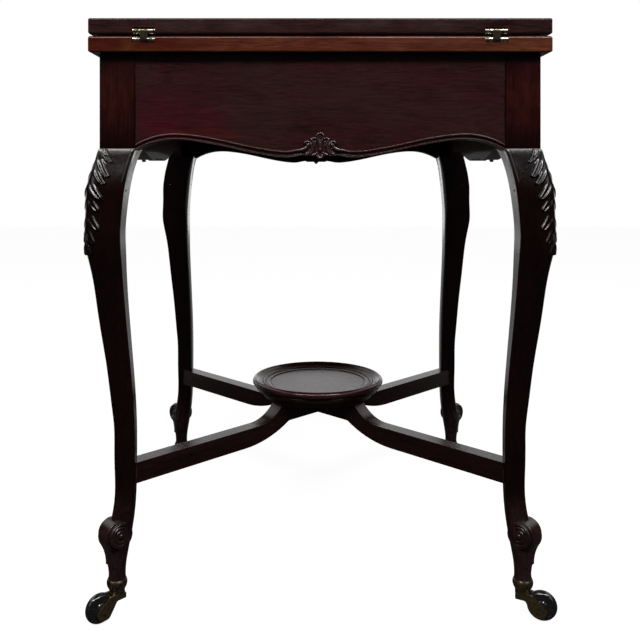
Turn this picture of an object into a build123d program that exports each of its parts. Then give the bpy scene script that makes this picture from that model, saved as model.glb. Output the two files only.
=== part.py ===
from build123d import *
import math
import os

os.makedirs("parts", exist_ok=True)

# Overall sizes of the closed table, in millimetres
table_height = 737.0
top_side = 560.0
board_thickness = 19.5
leaf_gap = 2.0
leaf_joint_gap = 0.8
top_overhang = 11.0
turn_clearance = 0.3
glue_gap = 0.1
running_gap = 0.05
cut_overrun = 5.0

# Board and leaf edges
hinge_edge_round = 3.0
plain_edge_round = 2.0
baize_border = 30.0
baize_thickness = 1.2
baize_recess = 0.4

# Frame of the table
leg_block_side = 44.0
leg_block_height = 116.2
block_edge_round = 1.0
apron_thickness = 22.0
apron_setback = 1.0
apron_depth = 125.5
arch_rise = 20.6
bead_width = 7.6
bead_proud = 2.6
bead_round = 1.4
bead_groove_low = 1.6
bead_groove_high = 4.3
bead_groove_proud = 0.7
bead_lip_proud = 2.0
bead_lip_round = 0.6
tenon_thickness = 12.0
tenon_length = 18.0
tenon_shoulder = 5.0
corner_block_reach = 45.0
corner_block_height = 45.0
corner_block_drop = 1.0
shell_base_rise = 9.5
shell_petal_length = 22.0
shell_petal_width = 9.0
shell_curl_radius = 4.6
shell_curl_spread = 15.5
shell_curl_rise = 7.5
shell_curl_height = 3.7
shell_boss_height = 4.4
shell_back = 1.5

# Cabriole legs
knee_reach = 16.2
leg_plug_radius = 10.0
foot_scroll_radius = 18.5
foot_scroll_offset = 2.7
foot_scroll_back = 8.7
foot_scroll_width = 20.0
foot_scroll_height_share = 0.178
foot_neck_height_share = 0.114
foot_neck_reach = 7.9
foot_neck_angle = 35.0
foot_neck_waist_share = 0.22
scroll_eye_radius = 2.6
scroll_eye_proud = 1.2
scroll_turns = 3
scroll_line_share = 0.72
scroll_turn_share = 0.68
scroll_groove_width = 1.6
scroll_groove_depth = 1.2
scroll_edge_round = 1.2

# Turning pivot of the top
pivot_rail_width = 80.0
pivot_rail_thickness = 20.0
pivot_housing_depth = 10.0
pivot_flange_radius = 35.0
pivot_flange_thickness = 3.0
pivot_stud_radius = 6.0
pivot_washer_radius = 16.0
pivot_washer_thickness = 2.5
pivot_nut_flats = 19.0
pivot_nut_sides = 6
pivot_nut_thickness = 10.0
pivot_stud_end = 3.0
pivot_screw_circle = 26.0
pivot_screw_count = 4
turn_angle = 45.0
stop_peg_radius = 5.0
stop_peg_circle = 60.0
stop_peg_seat = 12.0
stop_peg_clearance = 0.3

# Wood screws of plates, dish and pivot
screw_head_radius = 3.0
screw_head_height = 1.6
screw_shank_radius = 1.4
screw_length = 12.0

# Link hinges
hinge_spacing = 426.0
hinge_width = 27.0
hinge_link_width = 9.0
hinge_side_gap = 0.3
hinge_pocket_gap = 0.4
hinge_barrel_radius = 3.75
hinge_pin_radius = 1.5
hinge_pin_inset = 4.2
hinge_plate_depth = 24.0
hinge_plate_thickness = 2.0
hinge_screw_spacing = 15.0

# Stretcher and its dish
rail_width = 21.0
rail_height = 26.0
rail_foot_height = 162.0
rail_rise = 21.5
rail_cusp_reach = 71.5
rail_lower_sweep_end = 155.0
rail_shoulder_reach = 85.0
rail_upper_sweep_end = 130.0
rail_tenon_thickness = 9.0
rail_tenon_height = 20.0
rail_tenon_length = 9.0
dish_radius = 100.5
dish_height = 25.7
dish_screw_radius = 2.5
dish_screw_head_radius = 5.0
dish_screw_seat = 9.0

# Casters
wheel_radius = 18.2
wheel_width = 11.0
wheel_crown = 2.6
wheel_hub_radius = 6.0
wheel_hub_recess = 1.0
caster_trail = 23.0
axle_radius = 2.0
axle_head_radius = 3.2
axle_head_height = 0.9
horn_cheek = 2.2
horn_side_gap = 0.5
horn_disc_radius = 9.4
horn_top_height = 31.0
horn_disc_thickness = 6.5
horn_wheel_gap = 1.2
pintle_radius = 3.0
pintle_head_radius = 4.2
pintle_head_height = 1.5
pintle_head_room = 0.6
cup_floor = 7.0
cup_height = 17.0
cup_rim_radius = 12.6
cup_base_radius = 9.5
cup_rim_bead = 10.0
caster_bearings = {
    "front_left": 219.0,
    "front_right": 340.0,
    "rear_right": 39.0,
    "rear_left": 160.0,
}

# Levels that follow from the sizes above
half_top = top_side / 2
board_bottom = table_height - 2 * board_thickness - leaf_gap
board_top = board_bottom + board_thickness
leaf_bottom = board_top + leaf_gap
frame_top = board_bottom - turn_clearance
half_frame = half_top - top_overhang
block_bottom = frame_top - leg_block_height
block_inner = half_frame - leg_block_side
apron_face = half_frame - apron_setback
apron_back = apron_face - apron_thickness
apron_bottom = frame_top - apron_depth
cup_bottom = horn_top_height + turn_clearance
cup_floor_top = cup_bottom + cup_floor
cup_rim_top = cup_bottom + cup_height

# Legs: height, reach and side as shares, then the rounding of outer, flank and inner corners
leg_shares = [
    (1.000, 0.000, 1.000, 0.023, 0.023, 0.050),
    (0.988, 0.154, 1.000, 0.060, 0.030, 0.160),
    (0.970, 0.333, 1.005, 0.120, 0.035, 0.240),
    (0.937, 0.633, 1.056, 0.200, 0.040, 0.300),
    (0.904, 0.809, 1.068, 0.240, 0.045, 0.330),
    (0.837, 0.954, 1.015, 0.250, 0.050, 0.350),
    (0.771, 0.846, 0.955, 0.210, 0.055, 0.370),
    (0.721, 0.645, 0.843, 0.150, 0.060, 0.400),
    (0.652, 0.429, 0.776, 0.110, 0.065, 0.420),
    (0.585, 0.198, 0.719, 0.110, 0.070, 0.440),
    (0.518, -0.019, 0.668, 0.120, 0.075, 0.440),
    (0.449, -0.201, 0.625, 0.130, 0.080, 0.440),
    (0.380, -0.299, 0.585, 0.140, 0.090, 0.440),
    (0.311, -0.305, 0.575, 0.150, 0.100, 0.440),
    (0.224, -0.176, 0.589, 0.220, 0.200, 0.440),
    (0.140, 0.270, 0.600, 0.440, 0.440, 0.440),
    (0.108, 0.284, 0.489, 0.460, 0.460, 0.460),
    (cup_rim_top / block_bottom, 0.284, 0.489, 0.480, 0.480, 0.480),
]
leg_base_reach_share = leg_shares[-1][1]
leg_inner_round_share = 0.440
caster_offset = half_frame - leg_block_side / 2 + knee_reach * leg_base_reach_share

# Lower edge of an apron: place along the half span, height within the arch
apron_edge_shares = [
    (0.000, 0.080),
    (0.093, 0.126),
    (0.156, 0.000),
    (0.227, 0.000),
    (0.311, 0.126),
    (0.440, 0.408),
    (0.569, 0.718),
    (0.702, 0.947),
    (0.813, 1.000),
    (0.916, 0.786),
    (1.000, 0.364),
]

sides = {"front": 0, "right": 90, "back": 180, "left": 270}
corners = {"rear_right": 0, "rear_left": 90, "front_left": 180, "front_right": 270}


def turned(shape, angle):
    return shape.rotate(Axis.Z, angle)


def block_between(low, high):
    size = [b - a for a, b in zip(low, high)]
    middle = [(a + b) / 2 for a, b in zip(low, high)]
    return Pos(*middle) * Box(*size)


def upright_cylinder(radius, low, high):
    return Pos(0, 0, low) * Cylinder(radius, high - low, align=(Align.CENTER, Align.CENTER, Align.MIN))


def group(solids):
    return Compound(children=list(solids))


def leg_at(height):
    # centre and side of a leg's section at a height, between the two nearest sections
    share = height / block_bottom
    for upper, lower in zip(leg_shares, leg_shares[1:]):
        if lower[0] <= share <= upper[0]:
            part_way = (upper[0] - share) / (upper[0] - lower[0])
            reach = upper[1] + (lower[1] - upper[1]) * part_way
            side = upper[2] + (lower[2] - upper[2]) * part_way
            return half_frame - leg_block_side / 2 + knee_reach * reach, leg_block_side * side
    return caster_offset, leg_block_side * leg_shares[-1][2]


def leg_section(shares):
    height_share, reach_share, side_share, outer_share, flank_share, inner_share = shares
    centre = half_frame - leg_block_side / 2 + knee_reach * reach_share
    side = leg_block_side * side_share
    low = centre - side / 2
    high = centre + side / 2
    outline = FilletPolyline(
        (low, low),
        (high, low),
        (high, high),
        (low, high),
        radius=[inner_share * side, flank_share * side, outer_share * side, flank_share * side],
        close=True,
    )
    return Pos(0, 0, height_share * block_bottom) * make_face(outline)


def scroll_foot():
    # a roll on the outer side of the ankle, with a hollow neck running down to the cup
    angle = math.radians(foot_neck_angle)
    neck_drop = (foot_scroll_height_share - foot_neck_height_share) * block_bottom
    start = (foot_scroll_radius * math.cos(angle), -foot_scroll_radius * math.sin(angle))
    end = (foot_neck_reach, -neck_drop)
    waist = (end[0] + (start[0] - end[0]) * foot_neck_waist_share, (start[1] + end[1]) / 2)
    neck = make_face(
        Curve()
        + [
            Line((0, start[1]), start),
            ThreePointArc(start, waist, end),
            Line(end, (0, -neck_drop)),
            Line((0, -neck_drop), (0, start[1])),
        ]
    )
    roll = extrude(Circle(foot_scroll_radius), amount=foot_scroll_width / 2, both=True)
    roll = fillet(roll.edges().filter_by(GeomType.CIRCLE), scroll_edge_round)
    roll -= block_between(
        (-2 * foot_scroll_radius, -foot_scroll_radius, -foot_scroll_width),
        (-foot_scroll_back, foot_scroll_radius, foot_scroll_width),
    )
    foot = roll + extrude(neck, amount=foot_scroll_width / 2 - scroll_edge_round, both=True)
    for end_side in (1, -1):
        face = end_side * foot_scroll_width / 2
        foot = foot - Pos(0, 0, face) * scroll_groove()
        foot = foot + Pos(0, 0, face) * Cylinder(scroll_eye_radius, 2 * scroll_eye_proud)
    # the profile's first axis becomes the outward diagonal and its second axis points up
    stand = Plane(origin=(0, 0, 0), x_dir=(1, 0, 0), z_dir=(0, -1, 0))
    return stand * Pos(foot_scroll_offset, 0, 0) * foot


def scroll_groove():
    # half circles of shrinking radius make the line of the volute
    radius = foot_scroll_radius * scroll_line_share
    centre = 0
    groove = Part()
    for turn in range(scroll_turns):
        start_angle = 180 * (turn % 2)
        arc = CenterArc((centre, 0), radius, start_angle, 180)
        groove += extrude(SlotArc(arc, scroll_groove_width), amount=scroll_groove_depth, both=True)
        smaller = radius * scroll_turn_share
        step = radius - smaller
        centre += -step if turn % 2 == 0 else step
        radius = smaller
    return groove


def rail_tenon(gap):
    # tenon of a stretcher rail, along +X, before it is turned onto the diagonal
    middle_height = rail_foot_height + rail_height / 2
    centre, side = leg_at(middle_height)
    leg_axis = centre * math.sqrt(2)
    corner_cut = side * leg_inner_round_share * (math.sqrt(2) - 1)
    leg_inner_face = leg_axis - side / 2 * math.sqrt(2) + corner_cut
    return block_between(
        (leg_axis - side, -rail_tenon_thickness / 2 - gap, middle_height - rail_tenon_height / 2 - gap),
        (
            leg_inner_face + rail_tenon_length + gap,
            rail_tenon_thickness / 2 + gap,
            middle_height + rail_tenon_height / 2 + gap,
        ),
    )


def apron_tenon(gap):
    # tenon at the +X end of the front apron; the same shape cuts the mortise in a leg
    front = -apron_face + tenon_shoulder - gap
    return block_between(
        (block_inner - cut_overrun * (gap > 0), front, block_bottom + 2 * tenon_shoulder - gap),
        (
            block_inner + tenon_length + gap,
            front + tenon_thickness + 2 * gap,
            frame_top - 2 * tenon_shoulder + gap,
        ),
    )


# Legs, each with mortises for two aprons and one stretcher rail
leg_form = loft([leg_section(row) for row in leg_shares])
leg_block = block_between(
    (block_inner, block_inner, block_bottom - glue_gap),
    (half_frame, half_frame, frame_top),
)
block_edges = leg_block.edges().filter_by(Axis.Z)
outer_edge = block_edges.sort_by(lambda edge: edge.center().X + edge.center().Y)[-1]
leg_form += fillet(outer_edge, block_edge_round)
ankle_axis = Pos(caster_offset, caster_offset, foot_scroll_height_share * block_bottom) * Rot(0, 0, 45)
leg_form += ankle_axis * scroll_foot()
leg_form += Pos(caster_offset, caster_offset, 0) * upright_cylinder(
    leg_plug_radius, cup_floor_top, leg_shares[-1][0] * block_bottom + glue_gap
)
leg_form -= Pos(caster_offset, caster_offset, 0) * upright_cylinder(
    pintle_head_radius + pintle_head_room,
    cup_floor_top - cut_overrun,
    cup_floor_top + pintle_head_height + pintle_head_room,
)
leg = leg_form - turned(rail_tenon(glue_gap), 45)
leg = leg - turned(apron_tenon(glue_gap), 90)
leg = leg - mirror(turned(apron_tenon(glue_gap), 180), Plane.YZ)
for name, angle in corners.items():
    export_step(turned(leg, angle), "parts/leg_" + name + ".step")

# Aprons with a serpentine lower edge and a carved bead along it
def edge_curve(lift):
    right = [(block_inner * x, apron_bottom + arch_rise * z + lift) for x, z in apron_edge_shares]
    left = [(-x, z) for x, z in right[:0:-1]]
    return left + right


def apron_outline(low_points, upper_edges):
    stand = Plane(origin=(0, -apron_back, 0), x_dir=(1, 0, 0), z_dir=(0, -1, 0))
    return stand * make_face(Curve() + [Spline(*low_points)] + upper_edges)


def bead_band(low_lift, high_lift, proud):
    # a strip along the apron's lower edge, standing proud of its face
    low = edge_curve(low_lift)
    high = edge_curve(high_lift)
    outline = apron_outline(low, [Line(low[-1], high[-1]), Spline(*high), Line(high[0], low[0])])
    return extrude(outline, amount=apron_thickness + proud)


def rounded_band(low_lift, high_lift, proud, rounding):
    band = bead_band(low_lift, high_lift, proud)
    front = band.faces().sort_by(Axis.Y)[0]
    return fillet(front.edges().filter_by(lambda edge: edge.length > apron_thickness), rounding)


apron_low = edge_curve(0)
apron_upper = Polyline(apron_low[-1], (block_inner, frame_top), (-block_inner, frame_top), apron_low[0])
apron = extrude(apron_outline(apron_low, [apron_upper]), amount=apron_thickness)
apron += bead_band(0, bead_groove_high + bead_round, bead_groove_proud)
apron += rounded_band(0, bead_groove_low, bead_lip_proud, bead_lip_round)
apron += rounded_band(bead_groove_high, bead_width, bead_proud, bead_round)
apron = apron + apron_tenon(0) + mirror(apron_tenon(0), Plane.YZ)
housing_half = pivot_rail_width / 2 + glue_gap
housing = block_between(
    (-housing_half, -apron_back - pivot_housing_depth, frame_top - pivot_rail_thickness - glue_gap),
    (housing_half, -apron_back + cut_overrun, frame_top + cut_overrun),
)
for name, angle in sides.items():
    side_apron = apron - housing if name in ("left", "right") else apron
    export_step(turned(side_apron, angle), "parts/apron_" + name + ".step")

# Corner blocks glued behind the legs
corner_outline = Polyline(
    (block_inner, apron_back),
    (block_inner - corner_block_reach, apron_back),
    (apron_back, block_inner - corner_block_reach),
    (apron_back, block_inner),
    (block_inner, block_inner),
    close=True,
)
corner_block = Pos(0, 0, frame_top - corner_block_drop - corner_block_height) * extrude(
    make_face(corner_outline), amount=corner_block_height
)
export_step(group(turned(corner_block, angle) for angle in corners.values()), "parts/corner_blocks.step")

# Carved shells glued over the middle of each apron: petal angle, length and width as shares
petal_shares = [
    (90, 1.00, 1.00),
    (122, 0.86, 0.90),
    (58, 0.86, 0.90),
    (157, 0.80, 0.80),
    (23, 0.80, 0.80),
    (270, 0.44, 1.00),
]


def petal(length, width):
    # half a spindle, the crowned lobe of a carved shell
    crown = ThreePointArc((0, 0), (length / 2, width / 2), (length, 0))
    return revolve(make_face(Curve() + [crown, Line((length, 0), (0, 0))]), Axis.X, 180)


shell = upright_cylinder(shell_curl_radius, -shell_back, shell_boss_height)
for angle, length_share, width_share in petal_shares:
    shell += Rot(0, 0, angle) * petal(shell_petal_length * length_share, shell_petal_width * width_share)
for hand in (1, -1):
    curl = upright_cylinder(shell_curl_radius, 0, shell_curl_height)
    shell += Pos(hand * shell_curl_spread, shell_curl_rise, 0) * curl
shell_foot = (0, -apron_face, apron_bottom + shell_base_rise)
shell_stand = Plane(origin=shell_foot, x_dir=(1, 0, 0), z_dir=(0, -1, 0))
shell_room = bead_band(-glue_gap, bead_width + glue_gap, bead_proud + glue_gap)
shell_room += block_between(
    (-block_inner, -apron_face, apron_bottom - shell_petal_length),
    (block_inner, -apron_back, frame_top),
)
shell = shell_stand * shell - shell_room
export_step(group(turned(shell, angle) for angle in sides.values()), "parts/apron_shells.step")

# Rail that carries the pivot, housed in the left and right aprons, with an arc slot for the stop peg
pivot_rail_bottom = frame_top - pivot_rail_thickness
rail_end = apron_back + pivot_housing_depth
pivot_rail = block_between(
    (-rail_end + glue_gap, -pivot_rail_width / 2, pivot_rail_bottom),
    (rail_end - glue_gap, pivot_rail_width / 2, frame_top),
)
pivot_rail -= upright_cylinder(
    pivot_stud_radius + running_gap, pivot_rail_bottom - cut_overrun, frame_top + cut_overrun
)
slot_arc = CenterArc((0, 0), stop_peg_circle, -turn_angle / 2, turn_angle)
slot = extrude(
    SlotArc(slot_arc, 2 * (stop_peg_radius + stop_peg_clearance)),
    amount=pivot_rail_thickness + 2 * cut_overrun,
)
pivot_rail -= Pos(0, 0, pivot_rail_bottom - cut_overrun) * slot
export_step(pivot_rail, "parts/pivot_rail.step")


def wood_screw(gap):
    # countersunk screw standing head down with its head flush at z = 0 and its shank going up
    head = Cone(screw_head_radius + gap, screw_shank_radius + gap, screw_head_height)
    head = Pos(0, 0, screw_head_height / 2) * head
    return head + upright_cylinder(screw_shank_radius + gap, 0, screw_length + gap)


# Pivot plate let into the underside of the board, with its stud, washer, nut and screws
pivot_stud_bottom = (
    pivot_rail_bottom - turn_clearance - pivot_washer_thickness - pivot_nut_thickness - pivot_stud_end
)
screw_places = [
    Rot(0, 0, turn_angle + 360 * i / pivot_screw_count) * Pos(pivot_screw_circle, 0, board_bottom)
    for i in range(pivot_screw_count)
]
pivot_plate = upright_cylinder(
    pivot_flange_radius, board_bottom, board_bottom + pivot_flange_thickness
) + upright_cylinder(pivot_stud_radius, pivot_stud_bottom, board_bottom)
pivot_washer = upright_cylinder(
    pivot_washer_radius,
    pivot_rail_bottom - turn_clearance - pivot_washer_thickness,
    pivot_rail_bottom - turn_clearance,
) - upright_cylinder(pivot_stud_radius + glue_gap, pivot_stud_bottom, board_bottom)
nut_outline = RegularPolygon(pivot_nut_flats / 2, pivot_nut_sides, major_radius=False)
pivot_nut = Pos(0, 0, pivot_stud_bottom + pivot_stud_end) * extrude(nut_outline, amount=pivot_nut_thickness)
pivot_nut -= upright_cylinder(pivot_stud_radius + running_gap, pivot_stud_bottom, board_bottom)
for place in screw_places:
    pivot_plate -= place * wood_screw(glue_gap)
export_step(pivot_plate, "parts/pivot_plate.step")
export_step(pivot_washer, "parts/pivot_washer.step")
export_step(pivot_nut, "parts/pivot_nut.step")
export_step(group(place * wood_screw(0) for place in screw_places), "parts/pivot_screws.step")

# Stop peg under the board
peg_place = Rot(0, 0, -turn_angle / 2) * Pos(stop_peg_circle, 0, 0)
stop_peg = peg_place * upright_cylinder(stop_peg_radius, pivot_rail_bottom, board_bottom + stop_peg_seat)
export_step(stop_peg, "parts/stop_peg.step")

# Link hinge on the front edge: one plate below, its mirror image above, and a link between them
pin_y = -half_top + hinge_pin_inset
lower_pin_z = board_top - hinge_pin_inset
upper_pin_z = leaf_bottom + hinge_pin_inset
hinge_mirror = Plane(origin=(0, 0, board_top + leaf_gap / 2), z_dir=(0, 0, 1))
knuckle_width = (hinge_width - hinge_link_width) / 2 - hinge_side_gap
hinge_places = [Pos(hinge_spacing / 2 * hand, 0, 0) for hand in (-1, 1)]


def cross_rod(radius, width, y, z):
    return Pos(0, y, z) * Rot(0, 90, 0) * Cylinder(radius, width)


def hinge_screws(gap):
    plate_start = pin_y + hinge_barrel_radius + hinge_pocket_gap
    screw_y = (plate_start - half_top + hinge_plate_depth) / 2
    screws = []
    for hand in (-1, 1):
        place = Pos(hand * hinge_screw_spacing / 2, screw_y, board_top) * Rot(180, 0, 0)
        screws.append(place * wood_screw(gap))
    return screws


def hinge_plate():
    plate_start = pin_y + hinge_barrel_radius + hinge_pocket_gap
    plate = block_between(
        (-hinge_width / 2, plate_start, board_top - hinge_plate_thickness),
        (hinge_width / 2, -half_top + hinge_plate_depth, board_top),
    )
    for hand in (-1, 1):
        middle = hand * (hinge_width - knuckle_width) / 2
        plate += Pos(middle, 0, 0) * cross_rod(hinge_barrel_radius, knuckle_width, pin_y, lower_pin_z)
        plate += block_between(
            (middle - knuckle_width / 2, pin_y, board_top - hinge_plate_thickness),
            (middle + knuckle_width / 2, plate_start, board_top),
        )
    plate -= cross_rod(hinge_pin_radius + running_gap, hinge_width + 2 * cut_overrun, pin_y, lower_pin_z)
    for screw in hinge_screws(glue_gap):
        plate -= screw
    return plate


def hinge_room():
    # pocket for the barrels, recess for the plate and holes for its screws
    pocket_back = pin_y + hinge_barrel_radius + hinge_pocket_gap
    room = block_between(
        (
            -hinge_width / 2 - hinge_side_gap,
            -half_top - cut_overrun,
            lower_pin_z - hinge_barrel_radius - hinge_pocket_gap,
        ),
        (hinge_width / 2 + hinge_side_gap, pocket_back, board_top + cut_overrun),
    )
    room += block_between(
        (-hinge_width / 2 - glue_gap, pocket_back - cut_overrun, board_top - hinge_plate_thickness),
        (hinge_width / 2 + glue_gap, -half_top + hinge_plate_depth + glue_gap, board_top + cut_overrun),
    )
    for screw in hinge_screws(glue_gap):
        room += screw
    return room


def hinge_link():
    pin_distance = upper_pin_z - lower_pin_z
    outline = SlotCenterToCenter(pin_distance, 2 * hinge_barrel_radius)
    stand = Plane(origin=(0, pin_y, (lower_pin_z + upper_pin_z) / 2), x_dir=(0, 0, 1), z_dir=(1, 0, 0))
    link = extrude(stand * outline, amount=hinge_link_width / 2, both=True)
    for pin_z in (lower_pin_z, upper_pin_z):
        link += cross_rod(hinge_pin_radius, hinge_width, pin_y, pin_z)
    return link


plate = hinge_plate()
room = hinge_room()
board_plates = []
board_screws = []
board_rooms = []
for angle in sides.values():
    for place in hinge_places:
        board_plates.append(turned(place * plate, angle))
        board_rooms.append(turned(place * room, angle))
        board_screws += [turned(place * screw, angle) for screw in hinge_screws(0)]
export_step(group(board_plates), "parts/board_hinge_plates.step")
export_step(group(board_screws), "parts/board_hinge_screws.step")

# Square board with its baize, the pockets for the hinges and the seats under it
board = block_between((-half_top, -half_top, board_bottom), (half_top, half_top, board_top))
board_edges = board.edges().filter_by(Plane.XY)
board = fillet(board_edges.filter_by_position(Axis.Z, board_top, board_top), hinge_edge_round)
board_edges = board.edges().filter_by_position(Axis.Z, board_bottom, board_bottom)
board = fillet(board_edges, plain_edge_round)
for board_room in board_rooms:
    board -= board_room
board -= upright_cylinder(
    pivot_flange_radius + glue_gap, board_bottom - cut_overrun, board_bottom + pivot_flange_thickness
)
board -= peg_place * upright_cylinder(
    stop_peg_radius + glue_gap, board_bottom - cut_overrun, board_bottom + stop_peg_seat
)
for place in screw_places:
    board -= place * wood_screw(glue_gap)
half_baize = half_top - baize_border
board -= block_between(
    (-half_baize - glue_gap, -half_baize - glue_gap, board_top - baize_recess),
    (half_baize + glue_gap, half_baize + glue_gap, board_top + cut_overrun),
)
export_step(board, "parts/top_board.step")
baize = block_between(
    (-half_baize, -half_baize, board_top - baize_recess),
    (half_baize, half_baize, board_top - baize_recess + baize_thickness),
)
export_step(baize, "parts/baize_centre.step")


def triangle(inset):
    # a quarter of the square, its long side on the front edge, set in from all three sides
    slant = leaf_joint_gap / 2 * math.sqrt(2) + inset * math.sqrt(2)
    front = half_top - inset
    return make_face(Polyline((-front + slant, -front), (front - slant, -front), (0, -slant), close=True))


# Triangular leaves, baized on the face that is folded in
leaf = Pos(0, 0, leaf_bottom) * extrude(triangle(0), amount=board_thickness)
front_edges = leaf.edges().filter_by(Axis.X)
lower_front = front_edges.filter_by_position(Axis.Z, leaf_bottom, leaf_bottom)
leaf = fillet(lower_front, hinge_edge_round)
upper_front = leaf.edges().filter_by(Axis.X).filter_by_position(Axis.Z, table_height, table_height)
leaf = fillet(upper_front, plain_edge_round)
leaf_baize_bottom = leaf_bottom + baize_recess - baize_thickness
leaf_recess = extrude(triangle(baize_border - glue_gap), amount=baize_recess + cut_overrun)
leaf -= Pos(0, 0, leaf_bottom - cut_overrun) * leaf_recess
leaf_baize = Pos(0, 0, leaf_baize_bottom) * extrude(triangle(baize_border), amount=baize_thickness)
leaf_plates = []
for place in hinge_places:
    leaf -= place * mirror(room, hinge_mirror)
    leaf_plates.append(place * mirror(plate, hinge_mirror))
    leaf_plates += [place * mirror(screw, hinge_mirror) for screw in hinge_screws(0)]
links = [place * hinge_link() for place in hinge_places]
for name, angle in sides.items():
    export_step(turned(leaf, angle), "parts/leaf_" + name + ".step")
    export_step(turned(leaf_baize, angle), "parts/baize_" + name + ".step")
    export_step(group(turned(piece, angle) for piece in leaf_plates), "parts/leaf_hinges_" + name + ".step")
    export_step(group(turned(piece, angle) for piece in links), "parts/hinge_links_" + name + ".step")

# Crossed stretcher rails, halved together at the middle, each sweeping down from a raised hub to its legs
hub_bottom = rail_foot_height + rail_rise
hub_top = hub_bottom + rail_height


rail_leg_axis = leg_at(rail_foot_height + rail_height / 2)[0] * math.sqrt(2)


def sweep_edge(level, hub_reach, sweep_end):
    # half of a rail's edge: straight over the hub, one hollow sweep down, then straight out to the leg
    hub_end = (hub_reach, level + rail_rise)
    return [
        Line((0, level + rail_rise), hub_end),
        TangentArc((sweep_end, level), hub_end, tangent=(-1, 0)),
        Line((sweep_end, level), (rail_leg_axis, level)),
    ]


def stretcher_rail():
    low = rail_foot_height
    high = rail_foot_height + rail_height
    outline = sweep_edge(low, rail_cusp_reach, rail_lower_sweep_end)
    outline += sweep_edge(high, rail_shoulder_reach, rail_upper_sweep_end)
    outline += [Line((rail_leg_axis, low), (rail_leg_axis, high)), Line((0, hub_bottom), (0, hub_top))]
    stand = Plane(origin=(0, 0, 0), x_dir=(1, 0, 0), z_dir=(0, -1, 0))
    arm = extrude(stand * make_face(Curve() + outline), amount=rail_width / 2, both=True)
    arm = arm - turned(leg_form, -45) + rail_tenon(0)
    return arm + mirror(arm, Plane.YZ)


def halving(low, high):
    half_width = rail_width / 2 + glue_gap
    return block_between((-half_width, -rail_width, low), (half_width, rail_width, high))


rail = stretcher_rail()
half_level = hub_bottom + rail_height / 2
dish_screw_hole = upright_cylinder(
    dish_screw_radius + glue_gap, hub_bottom - cut_overrun, hub_top + cut_overrun
)
dish_head_hole = upright_cylinder(
    dish_screw_head_radius + glue_gap, hub_bottom - cut_overrun, hub_bottom + dish_screw_seat
)
rail_a = rail - halving(half_level, hub_top + cut_overrun) - dish_screw_hole - dish_head_hole
rail_b = rail - halving(hub_bottom - cut_overrun, half_level) - dish_screw_hole
export_step(turned(rail_a, 45), "parts/stretcher_rail_a.step")
export_step(turned(rail_b, 135), "parts/stretcher_rail_b.step")

# Turned dish on the crossing: radius and height as shares, and how far the stretch that follows bulges
dish_shares = [
    (0.000, 0.000, 0.00),
    (0.836, 0.000, 0.00),
    (0.836, 0.078, -0.22),
    (0.900, 0.265, 0.00),
    (0.900, 0.300, 0.00),
    (0.912, 0.300, 0.28),
    (0.936, 0.588, 0.00),
    (0.930, 0.611, 0.00),
    (0.970, 0.626, 0.20),
    (1.000, 0.790, 0.20),
    (0.962, 1.000, 0.14),
    (0.930, 0.978, 0.04),
    (0.816, 0.860, 0.00),
    (0.808, 0.812, -0.20),
    (0.768, 0.752, 0.00),
    (0.762, 0.752, 0.30),
    (0.729, 0.735, 0.00),
    (0.719, 0.681, 0.00),
    (0.000, 0.681, 0.00),
]


def moulded_face(shares, width, height):
    # closed outline through the rows; a bulge is a share of its stretch, outward when positive
    points = [(width * row[0], height * row[1]) for row in shares]
    stretches = []
    for row, start, end in zip(shares, points, points[1:] + points[:1]):
        if row[2]:
            middle_x = (start[0] + end[0]) / 2 + (end[1] - start[1]) * row[2]
            middle_z = (start[1] + end[1]) / 2 - (end[0] - start[0]) * row[2]
            stretches.append(ThreePointArc(start, (middle_x, middle_z), end))
        else:
            stretches.append(Line(start, end))
    return make_face(Curve() + stretches)


dish_well_floor = dish_height * dish_shares[-1][1]
stand = Plane(origin=(0, 0, hub_top), x_dir=(1, 0, 0), z_dir=(0, -1, 0))
dish = revolve(stand * moulded_face(dish_shares, dish_radius, dish_height), Axis.Z)
dish_screw_top = hub_top + dish_well_floor / 2
dish -= upright_cylinder(dish_screw_radius + glue_gap, hub_top - cut_overrun, dish_screw_top + glue_gap)
export_step(dish, "parts/dish.step")
dish_screw = upright_cylinder(dish_screw_radius, hub_bottom + dish_screw_seat / 2, dish_screw_top)
dish_screw += upright_cylinder(
    dish_screw_head_radius, hub_bottom + dish_screw_seat / 2, hub_bottom + dish_screw_seat
)
export_step(dish_screw, "parts/dish_screw.step")

# Caster with its trail along +X: cup on the leg, horn with its pintle, axle and wheel
slot_half = wheel_width / 2 + horn_side_gap
horn_half = slot_half + horn_cheek
rim_low = cup_rim_top - cup_rim_bead
cup_neck_radius = cup_rim_radius - (cup_rim_radius - leg_plug_radius) / 2
cup_outline = [
    Line((pintle_radius + running_gap, cup_bottom), (cup_base_radius, cup_bottom)),
    Line((cup_base_radius, cup_bottom), (cup_base_radius, (cup_bottom + rim_low) / 2)),
    Line((cup_base_radius, (cup_bottom + rim_low) / 2), (cup_neck_radius, rim_low)),
    ThreePointArc(
        (cup_neck_radius, rim_low),
        (cup_rim_radius, (rim_low + cup_rim_top) / 2),
        (cup_neck_radius, cup_rim_top),
    ),
    Line((cup_neck_radius, cup_rim_top), (leg_plug_radius + glue_gap, cup_rim_top)),
    Line((leg_plug_radius + glue_gap, cup_rim_top), (leg_plug_radius + glue_gap, cup_floor_top)),
    Line((leg_plug_radius + glue_gap, cup_floor_top), (pintle_radius + running_gap, cup_floor_top)),
    Line((pintle_radius + running_gap, cup_floor_top), (pintle_radius + running_gap, cup_bottom)),
]
side_view = Plane(origin=(0, 0, 0), x_dir=(1, 0, 0), z_dir=(0, -1, 0))
cup = revolve(side_view * make_face(Curve() + cup_outline), Axis.Z)

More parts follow.
